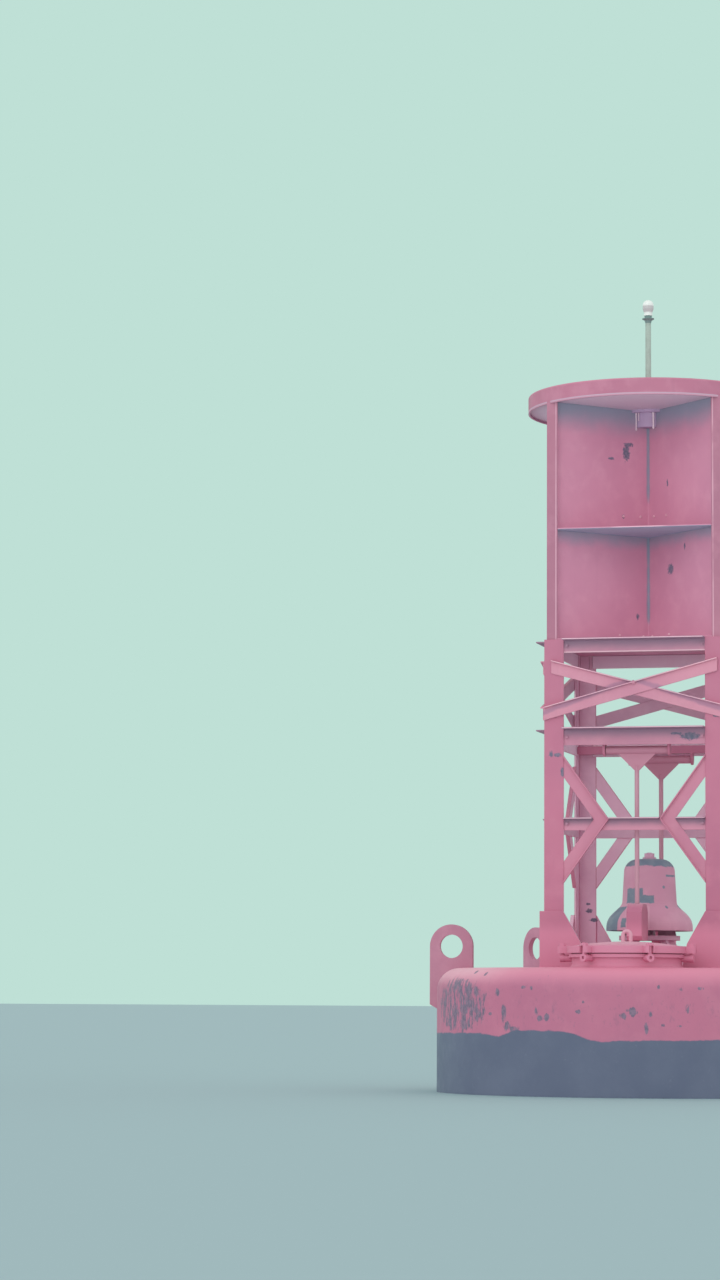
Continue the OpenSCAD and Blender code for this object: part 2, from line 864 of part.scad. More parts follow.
module hatch_coaming(k) {
    eye_in = dog_r - eye_t / 2;
    r = coaming_d / 2;
    c = coaming_fillet;
    color("crimson") on_end(k) translate([0, -hatch_y, 0]) {
        translate([0, 0, deck_z]) cylinder(d = coaming_d, h = coaming_top_z - deck_z);
        translate([0, 0, deck_z]) rotate_extrude() difference() {
            square([r + c, c]);
            translate([r + c, c]) circle(c);
        }
        translate([0, 0, coaming_top_z - coaming_flange_t])
            cylinder(d = coaming_flange_d, h = coaming_flange_t);
        at_dogs() {
            out_bar(r - beam_t, eye_in, eye_z, eye_d - 2 * dog_clear);
            out_bar(eye_in, dog_r, eye_z, eye_hole_d - 2 * eye_stud_clear);
        }
    }
}

// Outline of the lid with an ear for each lid bolt, open to the outside
module lid_outline() {
    slot_w = dog_d + 2 * dog_clear;
    difference() {
        union() {
            circle(d = lid_d);
            at_dogs() {
                translate([0, -dog_ear_r]) square([dog_r, 2 * dog_ear_r]);
                translate([dog_r, 0]) circle(dog_ear_r);
            }
        }
        at_dogs() {
            translate([dog_r, 0]) circle(d = slot_w);
            translate([dog_r, -slot_w / 2]) square([dog_ear_r + over_cut, slot_w]);
        }
    }
}

module hatch_lid(k) {
    seal_r = coaming_d / 2;
    limb_h = lid_dome + handle_h - handle_w / 2 - handle_d / 2;
    dome_r = lid_d / 2 - lid_edge;
    ball_r = (dome_r * dome_r + lid_dome * lid_dome) / (2 * lid_dome);
    color("crimson") on_end(k) translate([0, -hatch_y, 0]) {
        translate([0, 0, lid_under_z]) linear_extrude(lid_t) lid_outline();
        translate([0, 0, lid_z]) rotate_extrude($fn = hull_fn) intersection() {
            translate([0, lid_dome - ball_r]) circle(ball_r);
            square([dome_r, lid_dome]);
        }
        translate([0, 0, coaming_top_z]) linear_extrude(seal_t) difference() {
            circle(seal_r);
            circle(seal_r - seal_w);
        }
        for (x = [-1, 1]) translate([x * handle_w / 2, 0, lid_z]) cylinder(d = handle_d, h = limb_h);
        translate([0, 0, lid_z + limb_h]) rotate([90, 0, 0]) rotate_extrude(angle = 180)
            translate([handle_w / 2, 0]) circle(d = handle_d);
    }
}

module hatch_dogs(k) {
    nut_top_z = lid_z + dog_nut_h;
    color("crimson") on_end(k) translate([0, -hatch_y, 0]) at_dogs() difference() {
        union() {
            out_bar(dog_r - eye_t / 2, dog_r + eye_t / 2, eye_z, eye_d);
            translate([dog_r, 0, eye_z]) cylinder(d = dog_d, h = nut_top_z + dog_tip - eye_z);
            translate([dog_r, 0, lid_z]) cylinder(d = hex_corners(dog_nut_w), h = dog_nut_h, $fn = 6);
        }
        out_bar(dog_r - eye_t, dog_r + eye_t, eye_z, eye_hole_d);
    }
}

hull_drum();  // hull
counterweight_tube();
counterweight();
for (l = LUGS) lifting_lug(l[lug_turn]);
for (k = [0:3]) {
    leg(k);
    top_beam(k);
    lower_beam(k);
    mid_bar(k);
    x_brace(k);
    k_brace(k);
    reflector_post(k);
}
reflector_bottom_plate();
reflector_mid_plate();
reflector_panel_main();
reflector_panel_cross();
top_disc();
mast_foot();
mast();
lantern_collar();
lantern_lens();
bell_stand();
bell();
bell_nut();
for (k = [0, 1]) {
    mooring_lug(k);
    tapper_hanger(k);
    tapper(k);
    hatch_coaming(k);
    hatch_lid(k);
    hatch_dogs(k);
}
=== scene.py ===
# Looks of the lighted bell buoy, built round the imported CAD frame. Metres, +Z up, -Y is the front.
import json
import math

import bmesh
import bpy
from mathutils import Matrix, Vector, noise


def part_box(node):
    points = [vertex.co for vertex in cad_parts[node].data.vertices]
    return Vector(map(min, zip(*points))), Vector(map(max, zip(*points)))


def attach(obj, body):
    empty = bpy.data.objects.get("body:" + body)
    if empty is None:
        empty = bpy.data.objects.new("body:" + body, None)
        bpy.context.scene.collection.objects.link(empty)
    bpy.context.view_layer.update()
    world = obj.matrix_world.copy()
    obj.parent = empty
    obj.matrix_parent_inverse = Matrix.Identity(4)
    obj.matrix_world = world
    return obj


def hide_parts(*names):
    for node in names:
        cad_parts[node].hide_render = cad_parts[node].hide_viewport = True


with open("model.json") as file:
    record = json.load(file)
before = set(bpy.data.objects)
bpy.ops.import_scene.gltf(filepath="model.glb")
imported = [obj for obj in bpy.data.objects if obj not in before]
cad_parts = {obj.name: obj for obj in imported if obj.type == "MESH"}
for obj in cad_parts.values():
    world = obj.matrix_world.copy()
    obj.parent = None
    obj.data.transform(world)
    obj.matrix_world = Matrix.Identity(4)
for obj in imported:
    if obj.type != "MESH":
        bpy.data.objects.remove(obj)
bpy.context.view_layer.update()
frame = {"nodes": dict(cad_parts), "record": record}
BODY_OF = {node: body for body, nodes in frame["record"]["behaviour"]["bodies"].items() for node in nodes}
SLOT_OF = {part["node"]: part["material_slot"] for part in frame["record"]["subparts"]}
HULL_R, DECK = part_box("hull")[1][0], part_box("hull")[1][2]

# The camera that was fitted to the photograph: place, turn in degrees about X, Y and Z, and lens in mm
CAMERA_PLACE = (3.4, -20.317, 0.519)
CAMERA_TURN = (95.764, -0.335, 14.123)
CAMERA_LENS = 100.27
SENSOR = 36.0
# The floor's radius, the sides of its rim, and how far the camera sees
FLOOR_R, FLOOR_SIDES, FAR = 300, 96, 500

# Light: level of the sky all round, the soft lamp and the way its light goes, and a wide fill lamp that
# reaches the tower and the reflector but not the hull. Angles are in degrees.
SKY_LEVEL = 0.90
SUN_LEVEL, SUN_WAY, SUN_ANGLE = 0.30, (0.35, 1.0, -0.62), 40
FILL_LEVEL, FILL_SPREAD, FILL_SIZE = 12.5, 46.0, (7.0, 2.0)
FILL_PLACE, FILL_AIM = (0.3, -7.0, 3.0), (0.0, 0.0, 3.5)

# Colours as the photograph shows them through its haze, sRGB 0 to 255. Three together are a paint's own
# colour, its pale mottles and its dull runs.
SKY = (191, 224, 214)
FLOOR, FLOOR_BOUNCE = (160, 186, 191), (222, 232, 233)
RED_PALE = (210, 135, 160)
RED = ((203, 125, 152), RED_PALE, (193, 119, 147))
RED_HIGH, RED_LOW, LID_TOP_LIT = (190, 118, 144), (223, 142, 170), (226, 172, 190)
EDGE_PALE, WORN_AND_LIT_EDGE = (238, 200, 212), (226, 180, 198)
EDGE = (EDGE_PALE, (244, 214, 222), (222, 170, 188))
# Paler copies of the paint for faces turned inward or in shade: painted light that lifts the shade.
INNER = ((234, 192, 212), (238, 202, 218), (224, 182, 204))
SHADED = ((217, 177, 197), (222, 187, 204), (207, 167, 189))
BEAM = ((206, 143, 166), (214, 150, 171), (196, 136, 160))
BEAM_LOW, BEAM_SHADE = (216, 150, 173), (160, 131, 154)
BEAM_INNER = ((243, 220, 234), (246, 228, 240), (238, 210, 228))
STEM, HANGER = (203, 154, 171), (197, 137, 158)
LUG = ((199, 139, 162), (206, 148, 170), (190, 131, 155))
POST = ((181, 120, 142), (189, 131, 152), (171, 113, 136))
BRACE = ((214, 148, 169), (218, 156, 176), (204, 139, 162))
BRACE_SHADE = (166, 124, 152)
KNEE = ((210, 139, 163), (215, 148, 170), (200, 130, 156))
DISC = ((188, 120, 145), (199, 136, 159), (177, 113, 138))
UNDERSIDE_LIT, UNDER_RIM, DISC_LIP = (224, 212, 228), (188, 154, 176), (196, 146, 168)
# The reflector's plates are paler than the tower's paint: painted light in their shade.
PANEL = ((216, 151, 177), (220, 158, 182), (208, 143, 170))
PLATE_EDGE = ((206, 142, 168), (214, 156, 178), (196, 132, 160))
PLATE_UNDER_SHADE, SHADE = (172, 182, 204), (132, 154, 172)
# The mast foot's grey-lilac is painted shade under the round top.
FOOT = ((196, 168, 198), (214, 192, 214), (188, 164, 196))
DRIP, DRIP_DULL = (238, 216, 226), (226, 208, 220)
HULL = ((200, 122, 150), (205, 130, 156), (192, 118, 147))
DECK_EDGE_LIT, SHOULDER_HIGHLIGHT, SPECK = (229, 146, 172), (236, 188, 202), (168, 112, 140)
BOOT, BOOT_PALE, BOOT_DULL = (107, 117, 140), (120, 129, 149), (99, 109, 133)
SLIME, BARNACLE = (70, 82, 86), (136, 146, 142)
BARE, BARE_PALE = (102, 106, 128), (134, 122, 144)
# The bell is paler than the hull's paint: painted light in the tower's shade.
BELL = ((227, 174, 196), (232, 182, 202), (218, 163, 187))
BELL_BARE, BELL_BARE_PALE = (124, 145, 162), (138, 156, 170)
MAST_GREY, MAST_DULL = (172, 193, 182), (163, 183, 173)
LANTERN_GREY, LANTERN_PALE = (118, 145, 143), (126, 150, 147)
LENS_WHITE, LENS_BAND = (236, 243, 239), (196, 196, 197)


def rgb(r, g, b):
    """Linear colour from sRGB values of 0 to 255."""
    def lin(c):
        c /= 255
        return c / 12.92 if c <= 0.04045 else ((c + 0.055) / 1.055) ** 2.4
    return (lin(r), lin(g), lin(b), 1.0)


class Shade:
    """A material in the making. Its patterns run in metres in the buoy's own frame."""

    def __init__(self, name, gloss=0.4):
        self.mat = bpy.data.materials.new(name)
        self.mat.use_nodes = True
        self.tree = self.mat.node_tree
        self.shader = self.tree.nodes["Principled BSDF"]
        self.shader.inputs["Specular IOR Level"].default_value = gloss
        self.place = self.add("ShaderNodeTexCoord").outputs["Object"]
        self.x, self.y, self.z = self.add("ShaderNodeSeparateXYZ", {0: self.place}).outputs[:3]
        self.made = {}

    def unroll(self, radius):
        """Lays the side of a round piece flat. The turn is in degrees, 0 in front and rising to the right."""
        turn = self.math("ARCTAN2", self.x, self.math("MULTIPLY", self.y, -1.0))
        self.turn = self.math("DEGREES", turn)
        flat = self.add("ShaderNodeCombineXYZ", {0: self.math("MULTIPLY", turn, radius), 2: self.z})
        self.side, self.radius = flat.outputs[0], radius

    def add(self, kind, feeds=None, **settings):
        """New node with its settings, its inputs fed by sockets or plain values."""
        node = self.tree.nodes.new(kind)
        for name, value in settings.items():
            setattr(node, name, value)
        for key, value in (feeds or {}).items():
            self.feed(node.inputs[key], value)
        return node

    def feed(self, socket, value):
        if isinstance(value, bpy.types.NodeSocket):
            self.tree.links.new(value, socket)
        else:
            socket.default_value = value

    def math(self, operation, a, b=0.0):
        return self.add("ShaderNodeMath", {0: a, 1: b}, operation=operation).outputs[0]

    def vector(self, operation, a, b=(0, 0, 0)):
        return self.add("ShaderNodeVectorMath", {0: a, 1: b}, operation=operation)

    def both(self, first, *others):
        """Masks multiplied with each other."""
        for mask in others:
            first = self.math("MULTIPLY", first, mask)
        return first

    def most(self, first, *others):
        """The largest of the masks."""
        for mask in others:
            first = self.math("MAXIMUM", first, mask)
        return first

    def step(self, value, low, high):
        """0 at low, 1 at high and smooth between, whichever of the two is larger."""
        feeds = {0: value, 1: low, 2: high, 3: 0.0, 4: 1.0}
        return self.add("ShaderNodeMapRange", feeds, interpolation_type="SMOOTHSTEP").outputs[0]

    def band(self, value, low, high, soft):
        """1 between low and high, 0 outside."""
        return self.both(self.step(value, low - soft, low + soft), self.step(value, high + soft, high - soft))

    def grain(self, scale, detail=3.0, rough=0.5, stretch=(1, 1, 1), seed=0.0, flat=False):
        """Noise of 0 to 1 with its middle at 0.5; scale is in waves to the metre."""
        key = (scale, detail, rough, stretch, seed, flat)
        if key not in self.made:
            feeds = {"Vector": self.side if flat else self.place, "Scale": stretch,
                     "Location": (seed, seed * 1.7, seed * 2.3)}
            spot = self.add("ShaderNodeMapping", feeds).outputs[0]
            feeds = {"Vector": spot, "Scale": scale, "Detail": detail, "Roughness": rough}
            self.made[key] = self.add("ShaderNodeTexNoise", feeds).outputs[0]
        return self.made[key]

    def wave(self, size, *pattern, **more):
        """The same noise from -size / 2 to size / 2."""
        return self.math("MULTIPLY", self.math("SUBTRACT", self.grain(*pattern, **more), 0.5), size)

    def mix(self, mask, a, b, share=1.0):
        """Tone a, with the given share of tone b where the mask is 1."""
        if share != 1.0:
            mask = self.both(mask, share)
        feeds = {0: mask}
        for socket, tone in ((6, a), (7, b)):
            feeds[socket] = tone if isinstance(tone, bpy.types.NodeSocket) else rgb(*tone)
        return self.add("ShaderNodeMix", feeds, data_type="RGBA").outputs[2]

    def mottle(self, a, b, low, high, *pattern, **more):
        """Tone a where the noise is under low, tone b where it is over high."""
        return self.mix(self.step(self.grain(*pattern, **more), low, high), a, b)

    def reach(self):
        """Distance from the buoy's axis."""
        level = self.vector("MULTIPLY", self.place, (1, 1, 0)).outputs[0]
        return self.vector("LENGTH", level).outputs["Value"]

    def aside(self):
        """Distance from the middle of the tower's nearest side, measured along that side."""
        return self.math("MINIMUM", self.math("ABSOLUTE", self.x), self.math("ABSOLUTE", self.y))

    def away(self, middle, size, flat=False):
        """Distance from middle, counted in the half sizes given."""
        off = self.vector("SUBTRACT", self.side if flat else self.place, middle).outputs[0]
        return self.vector("LENGTH", self.vector("DIVIDE", off, size).outputs[0]).outputs["Value"]

    def flat_away(self, turn, z, half_width, half_height):
        """The same on the side laid flat, from a turn and a height."""
        return self.away((math.radians(turn) * self.radius, 0.0, z), (half_width, 1.0, half_height), True)

    def uneven(self, distance, wobble):
        """1 up to a distance of about 1, with a rough edge."""
        return self.step(self.math("ADD", distance, self.wave(2.6 * wobble, 75.0, 5.0, 0.7)), 1.30, 0.75)

    def blot(self, middle, size, wobble=0.9):
        """1 inside an uneven spot, 0 outside."""
        return self.uneven(self.away(middle, size), wobble)

    def flat_blot(self, *spot):
        """The same on the side laid flat."""
        return self.uneven(self.flat_away(*spot), 0.8)

    def flat_spot(self, *spot):
        """1 in the middle of a spot on the side laid flat, fading to 0."""
        return self.step(self.flat_away(*spot), 1.9, 0.5)

    def slab(self, turn_low, turn_high, z_low, z_high, ragged=0.010, soft=0.003):
        """1 in an upright rectangle of the side laid flat, with a ragged edge."""
        wave = self.wave(2 * ragged, 50.0, 4.0, 0.6, seed=7.0)
        degrees = math.degrees(1.0 / self.radius)
        turn = self.math("ADD", self.turn, self.math("MULTIPLY", wave, degrees))
        across = self.band(turn, turn_low, turn_high, soft * degrees)
        return self.both(across, self.band(self.math("ADD", self.z, wave), z_low, z_high, soft))

    def worn(self, colour, pale, dull):
        """Paint tone: large patches, small mottles and faint runs."""
        tone = self.mottle(dull, colour, 0.36, 0.64, 1.3, 4.0, 0.6, seed=3.0)
        tone = self.mix(self.step(self.grain(7.0, 5.0, 0.6, seed=8.0), 0.46, 0.72), tone, pale, 0.6)
        runs = self.step(self.grain(1.0, 4.0, 0.6, (26, 26, 1.7), 5.0), 0.55, 0.75)
        return self.mix(runs, tone, dull, 0.35)

    def close(self, colour, chips=None, rough=(0.5, 0.68), bump=0.25):
        """Feeds the shader with the colour, uneven roughness and a bump with the chips sunk in."""
        self.feed(self.shader.inputs["Base Color"], colour)
        feeds = {0: self.grain(11.0, 4.0, 0.6, seed=2.0), 1: 0.3, 2: 0.7, 3: rough[0], 4: rough[1]}
        self.feed(self.shader.inputs["Roughness"], self.add("ShaderNodeMapRange", feeds).outputs[0])
        fine = self.both(self.grain(170.0, 2.0), 0.25)
        height = self.math("ADD", self.grain(24.0, 4.0, 0.6, seed=4.0), fine)
        if chips is not None:
            height = self.math("SUBTRACT", height, self.both(chips, 0.8))
        feeds = {"Strength": bump, "Distance": 0.002, "Height": height}
        self.feed(self.shader.inputs["Normal"], self.add("ShaderNodeBump", feeds).outputs[0])
        return self.mat


def red_paint(name, tones=RED, marks=(), chips_at=0.73, dressed=None):
    """Weathered paint with chips down to dark primer, marks as (middle, half sizes), and a place's own dirt."""
    s = Shade(name)
    tone = s.worn(*tones)
    if dressed:
        tone = dressed(s, tone)
    chips = s.step(s.grain(19.0, 6.0, 0.68, (1, 1, 0.6), 1.0), chips_at, chips_at + 0.03)
    chips = s.most(chips, *(s.blot(*mark) for mark in marks))
    return s.close(s.mix(chips, tone, s.mottle(BARE, BARE_PALE, 0.35, 0.65, 60.0, 3.0)), chips)


# Height of the red paint's lower edge round the hull: turn in degrees from the front, height above the water
BOOT_TOP = [
    (-180, 0.332), (-150, 0.351), (-120, 0.335), (-90, 0.331), (-72, 0.336), (-51, 0.339), (-41, 0.338),
    (-34, 0.326), (-28, 0.355), (-20, 0.359), (-13, 0.354), (-8, 0.327), (-4, 0.303), (2, 0.306), (10, 0.309),
    (20, 0.311), (28, 0.314), (55, 0.334), (85, 0.316), (125, 0.347), (165, 0.322), (180, 0.332),
]
# Bare places on the hull that show in the photograph: turn in degrees, height, half width, half height.
# The last line is the streaked patch.
HULL_MARKS = [
    (-33.9, 0.563, 0.017, 0.019), (-31.5, 0.447, 0.016, 0.044), (-30.2, 0.381, 0.025, 0.022),
    (-28.1, 0.367, 0.031, 0.014), (-36.5, 0.447, 0.012, 0.008), (-24.9, 0.593, 0.012, 0.008),
    (-22.5, 0.588, 0.010, 0.012), (-20.9, 0.458, 0.008, 0.019), (-19.6, 0.423, 0.021, 0.014),
    (-17.8, 0.431, 0.015, 0.016), (-9.0, 0.462, 0.014, 0.009), (-7.7, 0.514, 0.009, 0.008),
    (2.8, 0.440, 0.012, 0.016), (5.2, 0.462, 0.023, 0.020), (3.9, 0.470, 0.011, 0.008),
    (8.5, 0.377, 0.011, 0.027), (9.7, 0.451, 0.007, 0.014), (11.7, 0.595, 0.007, 0.010),
    (17.4, 0.585, 0.007, 0.013), (22.7, 0.590, 0.017, 0.009), (19.1, 0.488, 0.013, 0.027),
    (12.9, 0.393, 0.010, 0.009), (16.9, 0.388, 0.019, 0.005), (-40.6, 0.667, 0.012, 0.011),
    (-45.9, 0.676, 0.012, 0.008), (-50.5, 0.632, 0.015, 0.011),
]
STREAKS = (-52.0, 0.495, 0.310, 0.155)
# The turn that the photograph looks at, and how many degrees from it the unseen side starts and is full
SEEN_TURN, UNSEEN = -15.0, (54.0, 66.0)
# The shoulder's painted highlight: its heights, distances from the axis, and the turns where it is palest
SHOULDER_Z, SHOULDER_R = (0.590, 0.700), (0.9, 1.09)
SHOULDER_LEFT, SHOULDER_RIGHT = (-22.0, -50.0), (50.0, 100.0)
# Heights of the specks and of the runs on the hull's side, how softly they end, and where slime starts
SPECKS_Z, RUNS_Z, SIDE_SOFT, SLIME_Z = (0.36, 0.60), (0.37, 0.61), 0.05, (0.02, -0.05)


def boot_edge(s):
    """Height of the red paint's lower edge at each turn."""
    curve = s.add("ShaderNodeFloatCurve", {"Value": s.math("ADD", s.math("DIVIDE", s.turn, 360.0), 0.5)})
    points = curve.mapping.curves[0].points
    spots = [(turn / 360 + 0.5, z) for turn, z in BOOT_TOP]
    points[0].location, points[-1].location = spots[0], spots[-1]
    for spot in spots[1:-1]:
        points.new(*spot)
    curve.mapping.update()
    return s.math("ADD", curve.outputs[0], s.wave(0.026, 16.0, 5.0, 0.6))


def hull_paint():
    """Red over a dark underwater coat, painted highlight round the deck edge, streaked bare on the left front.
    """
    s = Shade("hull_paint")
    s.unroll(HULL_R)
    boot = s.step(s.math("SUBTRACT", s.z, boot_edge(s)), 0.005, -0.005)
    specks = s.both(s.step(s.grain(55.0, 4.0, 0.65, seed=4.5), 0.60, 0.70), s.band(s.z, *SPECKS_Z, SIDE_SOFT))
    tone = s.mix(specks, s.worn(*HULL), SPECK, 0.45)
    # Painted highlight: the rounded deck edge paler, and palest towards the sides.
    lit_shoulder = s.both(s.step(s.z, *SHOULDER_Z), s.step(s.reach(), *SHOULDER_R))
    far = s.most(s.step(s.turn, *SHOULDER_LEFT), s.step(s.turn, *SHOULDER_RIGHT))
    tone = s.mix(lit_shoulder, tone, DECK_EDGE_LIT, 0.9)
    tone = s.mix(s.both(lit_shoulder, far), tone, SHOULDER_HIGHLIGHT, 0.7)
    streaks = s.step(s.flat_away(*STREAKS), 1.20, 0.80)
    unseen = s.step(s.math("ABSOLUTE", s.math("ADD", s.turn, -SEEN_TURN)), *UNSEEN)
    near = s.most(s.both(streaks, 0.50), s.both(unseen, 0.19),
                  *(s.both(s.flat_spot(*mark), 0.62) for mark in HULL_MARKS))
    chips = s.step(s.math("ADD", s.wave(2.4, 1.0, 7.0, 0.72, (40, 1, 12), 6.0, True), near), 0.34, 0.56)
    runs = s.step(s.grain(1.0, 6.0, 0.68, (30, 1, 13), 11.0, True), 0.56, 0.70)
    tone = s.mix(s.both(runs, s.band(s.z, *RUNS_Z, SIDE_SOFT)), tone, SPECK, 0.5)
    tone = s.mix(chips, tone, s.mottle(BARE, BARE_PALE, 0.35, 0.65, 50.0, 3.0), 0.88)
    dark = s.mottle(BOOT_DULL, BOOT, 0.35, 0.65, 2.6, 5.0, 0.6, seed=9.0)
    dark = s.mix(s.step(s.grain(30.0, 5.0, 0.7, seed=7.0), 0.6, 0.72), dark, BOOT_PALE, 0.5)
    dark = s.mix(s.step(s.z, *SLIME_Z), dark, s.mottle(SLIME, BOOT_DULL, 0.4, 0.6, 14.0, 6.0, 0.7))
    return s.close(s.mix(boot, tone, dark), s.both(chips, s.math("SUBTRACT", 1.0, boot)), (0.46, 0.66))


def under_water_paint():
    """The dark coat with slime and a few barnacles."""
    s = Shade("bottom_paint")
    tone = s.mottle(BOOT_DULL, SLIME, 0.42, 0.62, 9.0, 6.0, 0.7)
    tone = s.mix(s.step(s.grain(40.0, 4.0, 0.7, seed=2.0), 0.66, 0.70), tone, BARNACLE)
    return s.close(tone, None, (0.7, 0.9), 0.7)


BELL_R = 0.19
# Bare rectangles on the bell: from and to in degrees, from and to in height, and how ragged
BELL_SLABS = [
    (-46.0, 19.0, 1.078, 1.123), (-46.0, -5.0, 1.110, 1.163), (-32.0, -24.0, 0.938, 0.991, 0.006),
    (49.0, 88.0, 1.230, 1.241, 0.004), (83.0, 93.0, 1.050, 1.070),
]
# Bare spots on the bell: turn in degrees, height, half width, half height
BELL_SPOTS = [
    (42.0, 1.170, 0.010, 0.008), (43.0, 1.055, 0.010, 0.008),
    (150.0, 1.000, 0.090, 0.050), (-165.0, 1.170, 0.060, 0.070),
]


def bell_paint():
    """Paint that has come off the bell's top, one side of its mouth and a patch at its waist."""
    s = Shade("bell_paint")
    s.unroll(BELL_R)
    line = s.both(s.band(s.turn, 6.5, 9.5, 1.0), s.band(s.z, 0.93, 1.06, 0.01))
    tone = s.mix(line, s.worn(*BELL), EDGE_PALE, 0.5)
    top = s.step(s.math("ADD", s.z, s.both(s.grain(17.0, 4.0, 0.6), 0.03)), 1.302, 1.309)
    chips = s.step(s.grain(30.0, 6.0, 0.7, seed=1.0), 0.70, 0.73)
    flare = s.math("SUBTRACT", s.slab(-115.0, -38.0, 0.90, 1.058), s.band(s.turn, -38.0, -32.0, 1.0))
    bare = s.most(top, chips, flare, *(s.slab(*slab) for slab in BELL_SLABS),
                  *(s.flat_blot(*spot) for spot in BELL_SPOTS))
    dark = s.mottle(BELL_BARE, BELL_BARE_PALE, 0.4, 0.65, 20.0, 4.0, 0.6, seed=5.0)
    return s.close(s.mix(bare, tone, dark), bare, (0.42, 0.6))


def plain_finish(name, colour, other, scale, rough):
    """Even finish with a slight mottle."""
    s = Shade(name)
    return s.close(s.mottle(colour, other, 0.4, 0.68, scale, 4.0, 0.6), None, rough, 0.15)


# Heights of the lens's grey band over its foot
LENS_BAND_UP = (0.021, 0.058)


def lens_finish():
    """Milky dome over a greyer band and a white foot."""
    s = Shade("lens", 0.6)
    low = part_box("lantern_lens")[0][2]
    tone = s.mix(s.band(s.z, *(low + up for up in LENS_BAND_UP), 0.003), LENS_WHITE, LENS_BAND)
    tone = s.mix(s.step(s.grain(60.0, 3.0), 0.5, 0.8), tone, LENS_BAND, 0.25)
    return s.close(tone, None, (0.16, 0.3), 0.05)


# Where the cross braces cross, and the slope of their middle lines
CROSS_Z, CROSS_SLOPE = 2.309, 0.357
# Top and bottom of the tower's beams
FLANGES = ((2.562, 2.480), (2.057, 1.985), (1.549, 1.490))
TOP_BEAM_LIP = (2.480, 2.4925)
# Heights between which one tone passes into another
BEAM_PALE_UNDER = (1.65, 1.60)
TOWER_DARK = (1.50, 2.50)
PALE_UNDER = (0.98, 0.88)
# Height where the lids' painted highlight starts
LID_LIT_FROM = (0.815, 0.840)
STEM_FROM, HANGER_FROM = (1.04, 1.08), (1.78, 1.84)
LOW_SHADE, HIGH_SHADE = (3.10, 3.20), (3.74, 3.93)
LOW_SEAM, HIGH_SEAM = (2.68, 2.76), (3.38, 3.46)
# Distance of the reflector posts' pale edge lines from the middle of the side
POST_EDGE_LINE = (0.4475, 0.4530)
# The round top: distances from the axis over which its underside darkens, heights of the underside and the
# lip over its lowest edge, and of the pale rim under its highest
UNDER_RIM_R = (0.58, 0.69)
UNDER_UP, LIP_UP, RIM_DOWN = (0.0135, 0.0115), (0.010, 0.005), (0.014, 0.002)


def beam_shade(s, tone):
    """Painted shadow right under the beams' flanges, and a pale line along the top beams' lower edges."""
    z = s.math("ADD", s.z, s.wave(0.03, 9.0, 4.0, 0.6, seed=6.0))
    # Painted shadow: a darker band just under each flange.
    flange_shade = s.most(*(s.both(s.step(z, bottom, top - 0.012), s.step(s.z, top + 0.010, top))
                     for top, bottom in FLANGES))
    # Paler paint below the top beams is painted light on the mid bars.
    tone = s.mix(flange_shade, s.mix(s.step(s.z, *BEAM_PALE_UNDER), tone, BEAM_LOW), BEAM_SHADE, 0.9)
    # The pale line is partly worn edge and partly painted highlight.
    return s.mix(s.band(s.z, *TOP_BEAM_LIP, 0.001), tone, EDGE_PALE, 0.85)


def pale_patch(s, tone):
    """Pale patch at the left of the rear lower beam."""
    return s.mix(s.blot((-0.430, 0.503, 2.018), (0.065, 0.03, 0.013), 0.3), tone, EDGE_PALE)


def post_edge(s, tone):
    """Pale line along the posts' edges, partly rubbed paint and partly painted highlight."""
    edge_patches = s.both(s.step(s.grain(3.0, 4.0, 0.6, seed=5.0), 0.30, 0.55), 0.7)
    return s.mix(s.both(s.band(s.aside(), *POST_EDGE_LINE, 0.002), edge_patches), tone, WORN_AND_LIT_EDGE)


def by_height(s, tone):
    """Paint a little darker up the tower and paler near the deck: painted shade high up, painted light low
    down.
    """
    tone = s.mix(s.step(s.z, *TOWER_DARK), tone, RED_HIGH, 0.9)
    return s.mix(s.step(s.z, *PALE_UNDER), tone, RED_LOW, 0.9)


def lid_top_highlight(s, tone):
    """Paler paint on the lids' tops, a painted highlight, over the paint that changes with height."""
    return s.mix(s.step(s.z, *LID_LIT_FROM), by_height(s, tone), LID_TOP_LIT, 0.9)


def stem_paint(s, tone):
    """Paler paint up the tappers' stems."""
    # Painted light near the deck, as in by_height.
    tone = s.mix(s.step(s.z, *PALE_UNDER), tone, RED_LOW, 0.9)
    tone = s.mix(s.step(s.z, *STEM_FROM), tone, STEM)
    return s.mix(s.step(s.z, *HANGER_FROM), tone, HANGER)


def cross_shade(s, tone):
    """Painted shadow under the lips of the cross braces."""
    rise = s.math("ADD", s.math("SUBTRACT", s.z, CROSS_Z), s.wave(0.03, 12.0, 4.0, 0.6, seed=6.0))
    run = s.both(s.aside(), CROSS_SLOPE)
    arms = [s.band(s.math(way, rise, run), 0.006, 0.036, 0.009) for way in ("ADD", "SUBTRACT")]
    return s.mix(s.most(*arms), tone, BRACE_SHADE, 0.7)


def panel_shade(s, tone):
    """Painted shadow under the round top and the middle plate and down the crossing of the upright plates."""
    z = s.math("ADD", s.z, s.wave(0.10, 5.0, 4.0, 0.6, seed=6.0))
    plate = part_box("reflector_mid_plate")[0][2]
    low = s.both(s.step(z, *LOW_SHADE), s.step(s.z, plate + 0.0035, plate + 0.0015))
    tone = s.mix(s.most(s.step(z, *HIGH_SHADE), s.both(low, 0.8)), tone, SHADE, 0.85)
    # Painted shadow on the middle plate's underside.
    tone = s.mix(s.band(s.z, plate - 0.001, plate + 0.001, 0.001), tone, PLATE_UNDER_SHADE)
    # The crossing line is part dark joint, part painted shadow.
    line = s.step(s.math("ADD", s.reach(), s.both(s.grain(12.0, 3.0), 0.012)), 0.030, 0.014)
    high = s.both(s.step(z, *HIGH_SEAM), line)
    deep = s.both(s.step(z, *LOW_SEAM), s.step(s.z, plate, plate - 0.004), line)
    return s.mix(s.most(high, deep), tone, SHADE, 0.85)


